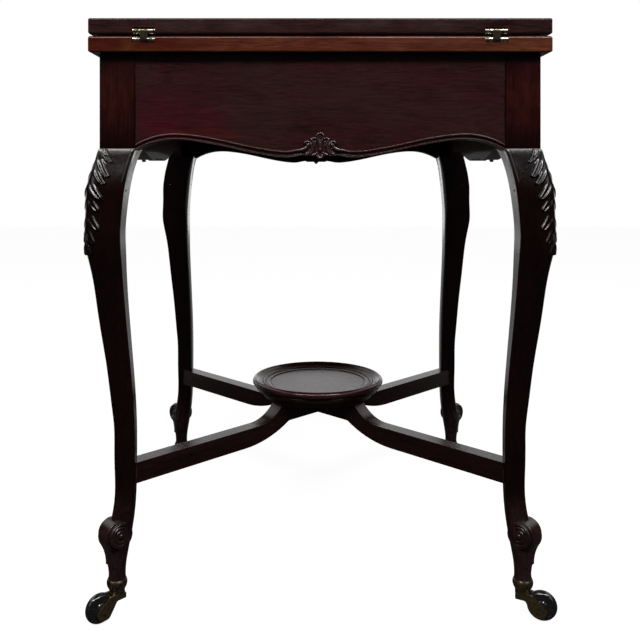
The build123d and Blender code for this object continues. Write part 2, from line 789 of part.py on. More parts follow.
# Cheek of the horn seen from the side: place along the trail and height as shares, corner rounding
horn_shares = [
    (-0.37, 1.00, 0.05),
    (0.52, 1.00, 0.30),
    (1.33, 0.47, 0.35),
    (1.09, 0.12, 0.40),
    (0.61, 0.18, 0.60),
    (0.33, 0.52, 0.50),
    (0.15, 0.76, 0.40),
    (-0.37, 0.79, 0.12),
]
cheek_outline = FilletPolyline(
    *[(caster_trail * x, horn_top_height * z) for x, z, r in horn_shares],
    radius=[horn_disc_radius * r for x, z, r in horn_shares],
    close=True,
)
horn = extrude(side_view * make_face(cheek_outline), amount=horn_half, both=True)
horn += upright_cylinder(horn_disc_radius, horn_top_height - horn_disc_thickness, horn_top_height)
wheel_place = Pos(caster_trail, 0, wheel_radius) * Rot(90, 0, 0)
horn -= wheel_place * Cylinder(wheel_radius + horn_wheel_gap, 2 * slot_half)
horn -= wheel_place * Cylinder(axle_radius + running_gap, 2 * horn_half + cut_overrun)
horn += upright_cylinder(
    pintle_radius, horn_top_height - horn_disc_thickness / 2, cup_floor_top + pintle_head_height
)
horn += upright_cylinder(
    pintle_head_radius, cup_floor_top + turn_clearance, cup_floor_top + turn_clearance + pintle_head_height
)
axle = Cylinder(axle_radius, 2 * (horn_half + axle_head_height))
for hand in (-1, 1):
    head_place = Pos(0, 0, hand * (horn_half + axle_head_height / 2))
    axle += head_place * Cylinder(axle_head_radius, axle_head_height)
axle = wheel_place * axle

face = wheel_width / 2
tread_edge = wheel_radius - wheel_crown
wheel_bore = axle_radius + running_gap
wheel_side = [
    (wheel_bore, face),
    (wheel_hub_radius, face),
    (wheel_hub_radius + wheel_hub_recess, face - wheel_hub_recess),
    (tread_edge - wheel_crown, face - wheel_hub_recess),
    (tread_edge, face - wheel_hub_recess / 2),
]
wheel_outline = Curve() + [
    Polyline(*wheel_side),
    ThreePointArc(wheel_side[-1], (wheel_radius, 0), (wheel_side[-1][0], -wheel_side[-1][1])),
    Polyline(*[(x, -y) for x, y in wheel_side]),
    Line(wheel_side[0], (wheel_side[0][0], -wheel_side[0][1])),
]
wheel = revolve(make_face(wheel_outline), Axis.Y)
wheel = Pos(caster_trail, 0, wheel_radius) * wheel

for name, bearing in caster_bearings.items():
    leg_x = caster_offset * (1 if "right" in name else -1)
    leg_y = caster_offset * (1 if "rear" in name else -1)
    place = Pos(leg_x, leg_y, 0) * Rot(0, 0, bearing)
    export_step(place * cup, "parts/caster_cup_" + name + ".step")
    export_step(place * horn, "parts/caster_horn_" + name + ".step")
    export_step(place * axle, "parts/caster_axle_" + name + ".step")
    export_step(place * wheel, "parts/caster_wheel_" + name + ".step")
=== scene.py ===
import math

import bmesh
import bpy
from mathutils import Matrix, Vector
from mathutils.bvhtree import BVHTree


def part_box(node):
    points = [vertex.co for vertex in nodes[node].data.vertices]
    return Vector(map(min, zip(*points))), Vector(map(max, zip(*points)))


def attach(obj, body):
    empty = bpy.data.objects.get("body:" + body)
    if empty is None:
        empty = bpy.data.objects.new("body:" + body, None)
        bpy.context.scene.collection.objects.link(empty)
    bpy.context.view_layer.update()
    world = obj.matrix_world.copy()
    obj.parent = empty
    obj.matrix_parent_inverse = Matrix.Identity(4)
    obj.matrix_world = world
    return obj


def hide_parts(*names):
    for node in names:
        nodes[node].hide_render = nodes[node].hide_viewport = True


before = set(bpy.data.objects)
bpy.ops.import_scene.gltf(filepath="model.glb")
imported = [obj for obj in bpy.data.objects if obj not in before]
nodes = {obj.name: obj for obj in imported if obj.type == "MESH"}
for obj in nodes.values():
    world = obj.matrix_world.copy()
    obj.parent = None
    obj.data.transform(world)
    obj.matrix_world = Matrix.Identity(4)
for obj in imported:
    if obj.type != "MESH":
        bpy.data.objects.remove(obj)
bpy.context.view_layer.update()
corners = ("front_left", "front_right", "rear_right", "rear_left")
sides = ("front", "right", "back", "left")

# Camera: just left of the middle and just under the apron's foot, looking level.
# The view is moved down instead of tilted, so the legs stay upright as they do in the photograph.
picture_width = 640
focal_pixels = 802.5
axis_row = 173.5
axis_column = 308.85
camera_place = (-0.01375, -1.2470, 0.5494)
clip_near = 0.05
clip_far = 60

camera_data = bpy.data.cameras.new("camera")
camera_data.lens = focal_pixels * camera_data.sensor_width / picture_width
camera_data.shift_x = (picture_width / 2 - axis_column) / picture_width
camera_data.shift_y = (axis_row - picture_width / 2) / picture_width
camera_data.clip_start = clip_near
camera_data.clip_end = clip_far
camera = bpy.data.objects.new("camera", camera_data)
camera.location = camera_place
camera.rotation_euler = (math.pi / 2, 0, 0)
bpy.context.collection.objects.link(camera)
bpy.context.scene.camera = camera
bpy.context.scene.view_settings.view_transform = "Standard"

# Studio: white sweep behind and under the table, and a dimmer room in front of it, as polished wood shows it.
# Two wide soft lamps hang high in front and a bright window stands on either side, so that the upright faces
# stay dark and only edges and turned members catch the light.
plain_white = (1, 1, 1, 1)
room_light = 0.25
room_behind = 1.05
room_in_front = 0.015
room_turn_from = 0.50
room_turn_to = 0.95
room_horizon = 1.6
room_overhead = 0.75
horizon_from = 0.04
horizon_to = 0.22
window_side_from = 0.30
window_side_to = 0.55
window_far_from = 0.68
window_far_to = 0.88
window_low = 0.18
window_high = 0.45
window_light = 1.5
floor_side = 14.0
floor_shown_white = 0.80
floor_glow = 1.16
floor_paper = (0.9, 0.9, 0.9, 1)
floor_behind = (0.78, 0.77, 0.76, 1)
floor_in_front = (0.035, 0.033, 0.032, 1)
floor_turn_from = 0.10
floor_turn_to = 0.90
# name, place, width and depth, power and colour
lamps = (
    ("lamp_left", (-0.85, -1.8, 2.35), (1.7, 0.45), 42.0, (1.0, 0.97, 0.93)),
    ("lamp_right", (0.85, -1.7, 2.40), (1.5, 0.40), 47.0, (0.95, 0.97, 1.0)),
)
lamp_target = Vector((0, 0, 0.5))


def add(tree, kind, **settings):
    node = tree.nodes.new(kind)
    for key, value in settings.items():
        setattr(node, key, value)
    return node


def join(tree, value, socket):
    # a socket takes either another node's output or a plain value
    if hasattr(value, "is_output"):
        tree.links.new(value, socket)
    else:
        socket.default_value = value


def spread_of(tree, value, low, high, to_low=0.0, to_high=1.0, kind="LINEAR"):
    # a ramp from low to high, level outside them
    ramp = add(tree, "ShaderNodeMapRange", interpolation_type=kind)
    ramp.inputs["From Min"].default_value = low
    ramp.inputs["From Max"].default_value = high
    ramp.inputs["To Min"].default_value = to_low
    ramp.inputs["To Max"].default_value = to_high
    join(tree, value, ramp.inputs["Value"])
    return ramp.outputs["Result"]


def smooth_of(tree, value, low, high, to_low=0.0, to_high=1.0):
    return spread_of(tree, value, low, high, to_low, to_high, "SMOOTHSTEP")


def math_of(tree, operation, first, second=0.0, clamp=False):
    node = add(tree, "ShaderNodeMath", operation=operation, use_clamp=clamp)
    join(tree, first, node.inputs[0])
    join(tree, second, node.inputs[1])
    return node.outputs["Value"]


def product_of(tree, first, second):
    return math_of(tree, "MULTIPLY", first, second)


def blend_of(tree, factor, first, second, kind="MIX"):
    mix = add(tree, "ShaderNodeMix", data_type="RGBA", blend_type=kind)
    join(tree, factor, mix.inputs["Factor"])
    join(tree, first, mix.inputs["A"])
    join(tree, second, mix.inputs["B"])
    return mix.outputs["Result"]


def axes_of(tree, vector):
    split = add(tree, "ShaderNodeSeparateXYZ")
    join(tree, vector, split.inputs["Vector"])
    return split.outputs["X"], split.outputs["Y"], split.outputs["Z"]


def background_of(tree, strength):
    light = add(tree, "ShaderNodeBackground")
    light.inputs["Color"].default_value = plain_white
    join(tree, strength, light.inputs["Strength"])
    return light.outputs["Background"]


def either_of(tree, factor, first, second):
    mix = add(tree, "ShaderNodeMixShader")
    join(tree, factor, mix.inputs["Fac"])
    join(tree, first, mix.inputs[1])
    join(tree, second, mix.inputs[2])
    return mix.outputs["Shader"]


world = bpy.data.worlds.new("studio")
world.use_nodes = True
bpy.context.scene.world = world
tree = world.node_tree
tree.nodes.clear()
across, forward, upward = axes_of(tree, add(tree, "ShaderNodeTexCoord").outputs["Generated"])
depth = smooth_of(tree, forward, room_turn_from, room_turn_to, room_in_front, room_behind)
climb = smooth_of(tree, upward, horizon_from, horizon_to, room_horizon, room_overhead)
sideways = math_of(tree, "ABSOLUTE", across)
beside = smooth_of(tree, sideways, window_side_from, window_side_to, 0, window_light)
near = smooth_of(tree, sideways, window_far_to, window_far_from)
above = smooth_of(tree, upward, window_low, window_high)
windows = product_of(tree, product_of(tree, beside, near), above)
room = math_of(tree, "MAXIMUM", product_of(tree, depth, climb), windows)
path = add(tree, "ShaderNodeLightPath")
lit_or_mirrored = either_of(
    tree, path.outputs["Is Glossy Ray"], background_of(tree, room_light), background_of(tree, room)
)
seen = either_of(tree, path.outputs["Is Camera Ray"], lit_or_mirrored, background_of(tree, 1.0))
join(tree, seen, add(tree, "ShaderNodeOutputWorld").inputs["Surface"])

for name, place, (across, deep), power, color in lamps:
    lamp_data = bpy.data.lights.new(name, "AREA")
    lamp_data.shape = "RECTANGLE"
    lamp_data.size = across
    lamp_data.size_y = deep
    lamp_data.energy = power
    lamp_data.color = color
    lamp = bpy.data.objects.new(name, lamp_data)
    lamp.location = place
    lamp.rotation_euler = (lamp_target - Vector(place)).to_track_quat("-Z", "Y").to_euler()
    bpy.context.collection.objects.link(lamp)

floor_material = bpy.data.materials.new("white_sweep")
floor_material.use_nodes = True
tree = floor_material.node_tree
tree.nodes.clear()
across, forward, upward = axes_of(tree, add(tree, "ShaderNodeTexCoord").outputs["Object"])
depth = smooth_of(tree, forward, floor_turn_from, floor_turn_to)
path = add(tree, "ShaderNodeLightPath")
shade = blend_of(tree, depth, floor_in_front, floor_behind)
shade = blend_of(tree, path.outputs["Is Camera Ray"], shade, floor_paper)
matte = add(tree, "ShaderNodeBsdfDiffuse")
join(tree, shade, matte.inputs["Color"])
glow = add(tree, "ShaderNodeEmission")
glow.inputs["Color"].default_value = plain_white
glow.inputs["Strength"].default_value = floor_glow
shown_white = product_of(tree, path.outputs["Is Camera Ray"], floor_shown_white)
surface = either_of(tree, shown_white, matte.outputs["BSDF"], glow.outputs["Emission"])
join(tree, surface, add(tree, "ShaderNodeOutputMaterial").inputs["Surface"])

floor_mesh = bpy.data.meshes.new("floor")
bm = bmesh.new()
bmesh.ops.create_grid(bm, x_segments=1, y_segments=1, size=floor_side / 2)
bm.to_mesh(floor_mesh)
bm.free()
floor_mesh.materials.append(floor_material)
floor = bpy.data.objects.new("floor", floor_mesh)
bpy.context.collection.objects.link(floor)

# Cabriole legs: solid mahogany, sawn and shaved to an S curve, with the square corner block left on top.
# The polish is old, nearly black in the hollows from dirt and painted shade, redder on the blocks and brown
# on the feet, and it has worn through along the edges. A painted shadow darkens the blocks under the top.
# Faces that look down were left without polish.
leg_dark = (0.0010, 0.0003, 0.0003, 1)
leg_light = (0.0056, 0.0010, 0.0011, 1)
leg_patch = (0.0078, 0.0024, 0.0015, 1)
block_red = (0.0215, 0.0042, 0.0040, 1)
block_orange = (0.0340, 0.0060, 0.0035, 1)
foot_brown = (0.0247, 0.0111, 0.0117, 1)
joint_dirt = (0.0010, 0.0006, 0.0006, 1)
edge_bare = (0.115, 0.040, 0.020, 1)
raw_wood = (0.0400, 0.0250, 0.0180, 1)
leg_tones = (leg_dark, leg_light, leg_patch)
polish_level = 0.30
polish_rough = (0.13, 0.22)
polish_coat = 0.06
polish_coat_roughness = 0.12
raw_level = 0.04
raw_share = 0.7
raw_roughness = 0.6
raw_margin = 0.001
raw_band = (-0.75, -0.95)
# each noise: scale, detail, distortion and roughness; each band: the two values that a mask rises between
grain_stretch = (0.09, 1, 1)
figure_noise = (75, 3, 0.8)
figure_band = (0.30, 0.70)
streak_noise = (520, 4)
streak_band = (0.44, 0.62)
streak_share = 0.7
line_noise = (560, 4, 0.3, 0.62)
line_band = (0.34, 0.66)
line_shades = (0.66, 1.38)
pore_noise = (2400, 2)
pore_band = (0.56, 0.70)
pore_share = 0.55
pore_strength = 0.12
pore_depth = 0.0004
cloud_noise = (11, 3, 0.4)
patch_band = (0.44, 0.66)
polish_band = (0.3, 0.7)
scratch_noise = (300, 5, 0.0, 0.7)
scratch_band = (0.5, 0.75)
scratch_roughness = 0.06
mask_samples = 6
edge_radius = 0.0012
edge_band = (0.995, 0.86)
rubbed_noise = (160, 4, 0.2, 0.62)
rubbed_band = (0.40, 0.62)
dirt_and_shade_reach = 0.006
dirt_and_shade_band = (0.85, 0.35)
dirt_and_shade_share = 0.7
patch_edge = 0.6
patch_cloud_noise = (3.0, 4, 0.5)
patch_cloud_band = (0.30, 0.62)
patch_cloud_least = 0.25
patch_line_noise = (1, 3, 0.3, 0.6)
patch_shades = (0.66, 1.36)
along_z = (0, math.pi / 2, 0)
along_y = (0, 0, math.pi / 2)
along_x = (0, 0, 0)
lines_along_z = (430, 430, 34)
lines_along_y = (480, 34, 480)
lines_along_x = (34, 480, 480)


def new_group(name, inputs, outputs):
    group = bpy.data.node_groups.new(name, "ShaderNodeTree")
    for label, kind, value in inputs:
        socket = group.interface.new_socket(label, in_out="INPUT", socket_type=kind)
        if value is not None:
            socket.default_value = value
    for label, kind in outputs:
        group.interface.new_socket(label, in_out="OUTPUT", socket_type=kind)
    return group, add(group, "NodeGroupInput"), add(group, "NodeGroupOutput")


def noise_of(tree, vector, scale, detail, distortion=0.0, roughness=0.5):
    noise = add(tree, "ShaderNodeTexNoise")
    noise.inputs["Scale"].default_value = scale
    noise.inputs["Detail"].default_value = detail
    noise.inputs["Distortion"].default_value = distortion
    noise.inputs["Roughness"].default_value = roughness
    join(tree, vector, noise.inputs["Vector"])
    return noise.outputs["Fac"]


def scaled_of(tree, vector, factors):
    scale = add(tree, "ShaderNodeVectorMath", operation="MULTIPLY")
    scale.inputs[1].default_value = factors
    join(tree, vector, scale.inputs[0])
    return scale.outputs["Vector"]


def bump_of(tree, height, strength, distance):
    bump = add(tree, "ShaderNodeBump")
    bump.inputs["Strength"].default_value = strength
    bump.inputs["Distance"].default_value = distance
    join(tree, height, bump.inputs["Height"])
    return bump.outputs["Normal"]


def build_grain():
    # grain along X: a broad figure, streaks, patches of another tone, fine lines and pores
    group, given, result = new_group(
        "mahogany_grain",
        (
            ("Place", "NodeSocketVector", None),
            ("Dark", "NodeSocketColor", leg_dark),
            ("Light", "NodeSocketColor", leg_light),
            ("Patch", "NodeSocketColor", leg_patch),
            ("Patch Share", "NodeSocketFloat", 0.5),
        ),
        (("Color", "NodeSocketColor"), ("Cloud", "NodeSocketFloat"), ("Height", "NodeSocketFloat")),
    )
    stretched = scaled_of(group, given.outputs["Place"], grain_stretch)
    figure = noise_of(group, stretched, *figure_noise)
    streaks = noise_of(group, stretched, *streak_noise)
    pores = spread_of(group, noise_of(group, stretched, *pore_noise), *pore_band)
    cloud = noise_of(group, given.outputs["Place"], *cloud_noise)
    lines = noise_of(group, stretched, *line_noise)
    dark = given.outputs["Dark"]
    light = given.outputs["Light"]
    color = blend_of(group, spread_of(group, figure, *figure_band), dark, light)
    share = product_of(group, spread_of(group, streaks, *streak_band), streak_share)
    color = blend_of(group, share, color, light)
    share = product_of(group, spread_of(group, cloud, *patch_band), given.outputs["Patch Share"])
    color = blend_of(group, share, color, given.outputs["Patch"])
    color = blend_of(group, product_of(group, pores, pore_share), color, dark)
    shades = spread_of(group, lines, *line_band, *line_shades)
    color = blend_of(group, 1.0, color, shades, "MULTIPLY")
    join(group, color, result.inputs["Color"])
    join(group, cloud, result.inputs["Cloud"])
    join(group, spread_of(group, pores, 0, 1, 1, 0), result.inputs["Height"])
    return group


def build_worn_edges():
    # where a rounded normal leaves the true one, broken up as rubbing does
    group, given, result = new_group(
        "worn_edges",
        (("Radius", "NodeSocketFloat", edge_radius), ("Amount", "NodeSocketFloat", 1.0)),
        (("Mask", "NodeSocketFloat"),),
    )
    rounded = add(group, "ShaderNodeBevel", samples=mask_samples)
    join(group, given.outputs["Radius"], rounded.inputs["Radius"])
    facing = add(group, "ShaderNodeNewGeometry")
    dot = add(group, "ShaderNodeVectorMath", operation="DOT_PRODUCT")
    join(group, rounded.outputs["Normal"], dot.inputs[0])
    join(group, facing.outputs["Normal"], dot.inputs[1])
    edge = spread_of(group, dot.outputs["Value"], *edge_band)
    place = add(group, "ShaderNodeTexCoord")
    rubbed = noise_of(group, place.outputs["Object"], *rubbed_noise)
    mask = product_of(group, edge, spread_of(group, rubbed, *rubbed_band))
    join(group, product_of(group, mask, given.outputs["Amount"]), result.inputs["Mask"])
    return group


def build_dirt_and_shade():
    group, given, result = new_group(
        "dirt_and_hollow_shade",
        (("Reach", "NodeSocketFloat", dirt_and_shade_reach), ("Amount", "NodeSocketFloat", 1.0)),
        (("Mask", "NodeSocketFloat"),),
    )
    # occluded hollows, where dirt gathers and where shade falls: the mask for dirt and painted shade
    hollow = add(group, "ShaderNodeAmbientOcclusion", samples=mask_samples, only_local=True)
    join(group, given.outputs["Reach"], hollow.inputs["Distance"])
    mask = spread_of(group, hollow.outputs["AO"], *dirt_and_shade_band)
    join(group, product_of(group, mask, given.outputs["Amount"]), result.inputs["Mask"])
    return group


grain_group = build_grain()
worn_edges_group = build_worn_edges()
dirt_and_shade_group = build_dirt_and_shade()


def new_material(name):
    material = bpy.data.materials.new(name)
    material.use_nodes = True
    return material, material.node_tree, material.node_tree.nodes["Principled BSDF"]


def place_group(tree, group, **values):
    node = add(tree, "ShaderNodeGroup", node_tree=group)
    for key, value in values.items():
        node.inputs[key.replace("_", " ")].default_value = value
    return node


def unpolished_mask(tree, place, raw_within):
    # faces that look down, and all that lies within this distance of the middle
    facing = axes_of(tree, add(tree, "ShaderNodeNewGeometry").outputs["Normal"])
    distance = add(tree, "ShaderNodeVectorMath", operation="ABSOLUTE")
    join(tree, place, distance.inputs[0])
    outward = axes_of(tree, distance.outputs["Vector"])
    farther = math_of(tree, "MAXIMUM", outward[0], outward[1])
    inside = spread_of(tree, farther, raw_within + raw_margin, raw_within - raw_margin)
    below = spread_of(tree, facing[2], *raw_band)
    return math_of(tree, "MAXIMUM", inside, below, clamp=True)


def polished_wood(
    name,
    turn,
    tones,
    patch_share,
    wear,
    rough=polish_rough,
    level=polish_level,
    shift=(0, 0, 0),
    raw_within=0,
):
    # mahogany under old polish: grain along the turned X axis, bare edges, dirt and painted shade in the
    # hollows, fine scratches
    dark, light, patch = tones
    material, tree, surface = new_material(name)
    place = add(tree, "ShaderNodeTexCoord").outputs["Object"]
    mapping = add(tree, "ShaderNodeMapping")
    mapping.inputs["Rotation"].default_value = turn
    mapping.inputs["Location"].default_value = shift
    join(tree, place, mapping.inputs["Vector"])
    grain = place_group(tree, grain_group, Dark=dark, Light=light, Patch=patch, Patch_Share=patch_share)
    join(tree, mapping.outputs["Vector"], grain.inputs["Place"])
    worn = place_group(tree, worn_edges_group, Amount=wear)
    dirt_and_shade = place_group(tree, dirt_and_shade_group)
    raw = unpolished_mask(tree, place, raw_within)
    color = blend_of(tree, worn.outputs["Mask"], grain.outputs["Color"], edge_bare)
    # dirt and painted shade: hollows and creases darkened to the leg's dark tone
    color = blend_of(tree, product_of(tree, dirt_and_shade.outputs["Mask"], dirt_and_shade_share), color, leg_dark)
    color = blend_of(tree, product_of(tree, raw, raw_share), color, raw_wood)
    join(tree, color, surface.inputs["Base Color"])
    roughness = spread_of(tree, grain.outputs["Cloud"], *polish_band, *rough)
    scratches = noise_of(tree, mapping.outputs["Vector"], *scratch_noise)
    scratches = product_of(tree, spread_of(tree, scratches, *scratch_band), scratch_roughness)
    roughness = math_of(tree, "ADD", roughness, scratches, clamp=True)
    roughness = math_of(tree, "ADD", roughness, product_of(tree, raw, raw_roughness), clamp=True)
    join(tree, roughness, surface.inputs["Roughness"])
    join(tree, spread_of(tree, raw, 0, 1, level, raw_level), surface.inputs["Specular IOR Level"])
    join(tree, bump_of(tree, grain.outputs["Height"], pore_strength, pore_depth), surface.inputs["Normal"])
    surface.inputs["Coat Weight"].default_value = polish_coat
    surface.inputs["Coat Roughness"].default_value = polish_coat_roughness
    return material


def finish_node(node, material):
    mesh = nodes[node].data
    for index in range(len(mesh.materials)):
        mesh.materials[index] = material


def stain_and_shadow(material, centre, reach, color, share, lines):
    # a soft-edged area of another tone: a stain where the finish is thinner, faded or rubbed, and also the
    # painted shadow under the top
    tree = material.node_tree
    surface = tree.nodes["Principled BSDF"]
    before = surface.inputs["Base Color"].links[0].from_socket
    place = add(tree, "ShaderNodeTexCoord").outputs["Object"]
    shift = add(tree, "ShaderNodeMapping")
    shift.inputs["Location"].default_value = [-c / r for c, r in zip(centre, reach)]
    shift.inputs["Scale"].default_value = [1 / r for r in reach]
    join(tree, place, shift.inputs["Vector"])
    around = shift.outputs["Vector"]
    ball = add(tree, "ShaderNodeTexGradient", gradient_type="SPHERICAL")
    join(tree, around, ball.inputs["Vector"])
    mask = product_of(tree, spread_of(tree, ball.outputs["Fac"], 0, patch_edge), share)
    clouds = noise_of(tree, around, *patch_cloud_noise)
    uneven = spread_of(tree, clouds, *patch_cloud_band, patch_cloud_least, 1)
    streaks = noise_of(tree, scaled_of(tree, place, lines), *patch_line_noise)
    shades = spread_of(tree, streaks, *line_band, *patch_shades)
    color = blend_of(tree, 1.0, color, shades, "MULTIPLY")
    after = blend_of(tree, product_of(tree, mask, uneven), before, color)
    join(tree, after, surface.inputs["Base Color"])


leg_wood = polished_wood("leg_mahogany", along_z, leg_tones, patch_share=0.35, wear=0.3)
# place at one corner, reach, tone, share: block, its outer edge, foot, painted shadow under the top, two
# apron joints
leg_stains_and_shadow = (
    ((0.247, 0.247, 0.655), (0.12, 0.12, 0.085), block_red, 0.9),
    ((0.250, 0.270, 0.640), (0.03, 0.03, 0.045), block_orange, 0.5),
    ((0.265, 0.265, 0.085), (0.08, 0.08, 0.075), foot_brown, 0.9),
    # painted shadow: the dark band that the top's overhang casts on the blocks
    ((0.247, 0.247, 0.708), (0.09, 0.09, 0.022), leg_dark, 1.0),
    ((0.2255, 0.267, 0.640), (0.0022, 0.02, 0.30), joint_dirt, 1.0),
    ((0.267, 0.2255, 0.640), (0.02, 0.0022, 0.30), joint_dirt, 1.0),
)
for x, y in ((-1, -1), (1, -1), (-1, 1), (1, 1)):
    for (across, deep, height), reach, color, share in leg_stains_and_shadow:
        stain_and_shadow(leg_wood, (across * x, deep * y, height), reach, color, share, lines_along_z)
for corner in corners:
    finish_node("leg_" + corner, leg_wood)

# Knee carvings: an acanthus leaf cut round the outer corner of each knee, two to three millimetres proud.
# Its lobes hang down and inwards and overlap like tiles, and a thin bead runs down each face's inner edge.
# It is cut once, on the skin of one leg, and turned round to the other three.
knee_top = 0.5792
knee_foot = 0.4435
carving_cell = 0.00055
carving_sunk = 0.0004
carving_depth = 0.0022
carving_reach = 0.039
carving_smoothing = 0.35
corner_radius = 0.012
probe_across = 0.246
probe_inner = 0.15
probe_from = 0.5
probe_sunk = 0.006
probe_lift = 0.02
probe_length = 0.05
probe_miss = 0.03
leaf_middle = 3.2
# each lobe, in millimetres: its tip's distance from the corner, heights of tip and base, half width, rise
leaf_lobes = (
    (17.0, 570.5, 592.0, 3.6, 2.2),
    (25.0, 562.5, 588.0, 3.8, 2.5),
    (29.0, 545.0, 581.0, 5.4, 3.1),
    (26.5, 536.0, 568.0, 4.8, 2.9),
    (25.0, 518.0, 552.0, 5.4, 3.0),
    (21.5, 503.5, 535.0, 5.0, 2.2),
    (23.0, 481.0, 516.0, 5.4, 2.0),
    (17.5, 464.5, 495.0, 4.6, 1.6),
    (10.0, 450.5, 474.0, 3.6, 2.9),
)
lobe_root_width = 0.55
lobe_full_at = 0.6
lobe_tip_from = 0.82
lobe_tip_least = 0.0004
lobe_edge = 0.22
flute_level = 0.72
flute_depth = 0.28
flute_shift = 0.45
flute_pitch = 0.9
flute_lean = 0.10
root_rise = 0.12
root_from = 0.15
root_over = 0.6
curl_rise = 0.25
curl_from = 0.7
curl_over = 0.3
leaf_web = ((579.5, 12.0), (560.0, 17.0), (540.0, 18.0), (500.0, 13.0), (470.0, 9.0), (452.0, 3.0))
web_rise = 1.3
web_edge = 4
web_end = 452
leaf_fade = 45
midrib_rise = 1.6
midrib_half = 2.4
midrib_end = 462
knee_bead_half = 2.8
knee_bead_rise = 2.2
knee_bead_inset = 2.8
knee_bead_full = 562.0
knee_bead_end = 528.0


def eased(share):
    share = max(0.0, min(1.0, share))
    return share * share * (3 - 2 * share)


def lobe_height(w, z, lobe):
    # one lobe of the leaf: its line leaves the midrib downwards and turns inwards to a raised tip
    tip_w, tip_z, base_z, half, rise = lobe
    part = (base_z - z) / (base_z - tip_z)
    if part < 0 or part > 1:
        return 0
    span = tip_w - half - leaf_middle
    line = leaf_middle + span * part**2
    slope = 2 * span * part / (base_z - tip_z)
    width = half * (lobe_root_width + (1 - lobe_root_width) * eased(part / lobe_full_at))
    if part > lobe_tip_from:
        width *= math.sqrt(max(1 - ((part - lobe_tip_from) / (1 - lobe_tip_from)) ** 2, lobe_tip_least))
    off = (w - line) / math.sqrt(1 + slope * slope) / width
    if abs(off) >= 1:
        return 0
    flutes = flute_level + flute_lean * off
    flutes += flute_depth * math.cos(2 * math.pi * (off - flute_shift) / flute_pitch)
    along = root_rise + (1 - root_rise) * eased((part - root_from) / root_over)
    along += curl_rise * eased((part - curl_from) / curl_over)
    return rise * flutes * along * eased((1 - abs(off)) / lobe_edge)


def web_height(w, z):
    # the ground between the lobes
    for (upper, first), (lower, second) in zip(leaf_web, leaf_web[1:]):
        if lower <= z <= upper:
            edge = second + (first - second) * (z - lower) / (upper - lower)
            return web_rise * eased((edge - w) / web_edge) * eased((z - web_end) / leaf_fade)
    return 0


def knee_relief(w, z, around, face_width):
    # w counts from the face's outer corner, around from the diagonal along the skin
    rise = max(lobe_height(w, z, lobe) for lobe in leaf_lobes)
    rise = max(rise, web_height(w, z))
    if around < midrib_half:
        arch = math.sqrt(1 - (around / midrib_half) ** 2)
        rise = max(rise, midrib_rise * arch * eased((z - midrib_end) / leaf_fade))
    off = (w - face_width + knee_bead_inset) / knee_bead_half
    if abs(off) < 1:
        fade = eased((z - knee_bead_end) / (knee_bead_full - knee_bead_end))
        rise = max(rise, knee_bead_rise * math.sqrt(1 - off * off) * fade)
    return rise


def carve_knee():
    # a grid bent round the outer corner: a ray lays each point on the leg's skin, the relief raises it, and
    # the part that stays flat is cut away
    skin_mesh = nodes["leg_rear_right"].data
    skin = BVHTree.FromPolygons(
        [vertex.co for vertex in skin_mesh.vertices], [tuple(face.vertices) for face in skin_mesh.polygons]
    )
    arc = corner_radius * math.pi / 4
    reach = arc + carving_reach
    columns = round(2 * reach / carving_cell)
    rows = round((knee_top - knee_foot) / carving_cell)
    bm = bmesh.new()
    bmesh.ops.create_grid(bm, x_segments=columns, y_segments=rows, size=0.5)
    outer = {}
    hidden = []
    for vertex in bm.verts:
        around = vertex.co.x * 2 * reach
        height = knee_foot + (vertex.co.y + 0.5) * (knee_top - knee_foot)
        key = round(height, 7)
        if key not in outer:
            hit = skin.ray_cast(Vector((probe_across, probe_from, height)), Vector((0, -1, 0)))[0]
            inner = skin.ray_cast(Vector((probe_inner, hit.y - probe_sunk, height)), Vector((1, 0, 0)))[0]
            outer[key] = (hit.y, hit.y - inner.x)
        face_place, face_width = outer[key]
        turn = math.pi / 4 + max(-1, min(1, around / arc)) * math.pi / 4
        out = Vector((math.cos(turn), math.sin(turn), 0))
        flat = max(0, abs(around) - arc)
        middle = face_place - corner_radius
        start = Vector((middle, middle, height)) + out * (corner_radius + probe_lift)
        start -= Vector((flat, 0, 0)) if around > 0 else Vector((0, flat, 0))
        hit = skin.ray_cast(start, -out, probe_length)[0]
        if hit is None:
            hidden.append(vertex)
            vertex.co = start - out * probe_miss
            continue
        w = face_place - (hit.x if around > 0 else hit.y)
        rise = knee_relief(w * 1000, height * 1000, abs(around) * 1000, face_width * 1000) / 1000
        if rise <= 0:
            hidden.append(vertex)
        vertex.co = hit + out * (rise - carving_sunk)
    hidden = set(hidden)
    sunk = [face for face in bm.faces if all(vertex in hidden for vertex in face.verts)]
    bmesh.ops.delete(bm, geom=sunk, context="FACES")
    bmesh.ops.recalc_face_normals(bm, faces=bm.faces)
    bm.normal_update()
    if sum((face.normal.x + face.normal.y) for face in bm.faces) < 0:
        bmesh.ops.reverse_faces(bm, faces=bm.faces)
    bmesh.ops.smooth_vert(
        bm, verts=bm.verts, factor=carving_smoothing, use_axis_x=True, use_axis_y=True, use_axis_z=True
    )
    bmesh.ops.solidify(bm, geom=bm.faces[:], thickness=carving_depth)
    bmesh.ops.recalc_face_normals(bm, faces=bm.faces)
    return bm


def shown_piece(name, bm, material, body):
    # the finished mesh as a piece that rides on one body of the frame
    for face in bm.faces:
        face.smooth = True
    mesh = bpy.data.meshes.new(name)
    bm.to_mesh(mesh)
    bm.free()
    mesh.materials.append(material)
    piece = bpy.data.objects.new(name, mesh)
    bpy.context.collection.objects.link(piece)
    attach(piece, body)
    return piece


quarter_turn = Matrix.Rotation(math.pi / 2, 3, "Z")
corner_order = ("rear_right", "rear_left", "front_left", "front_right")


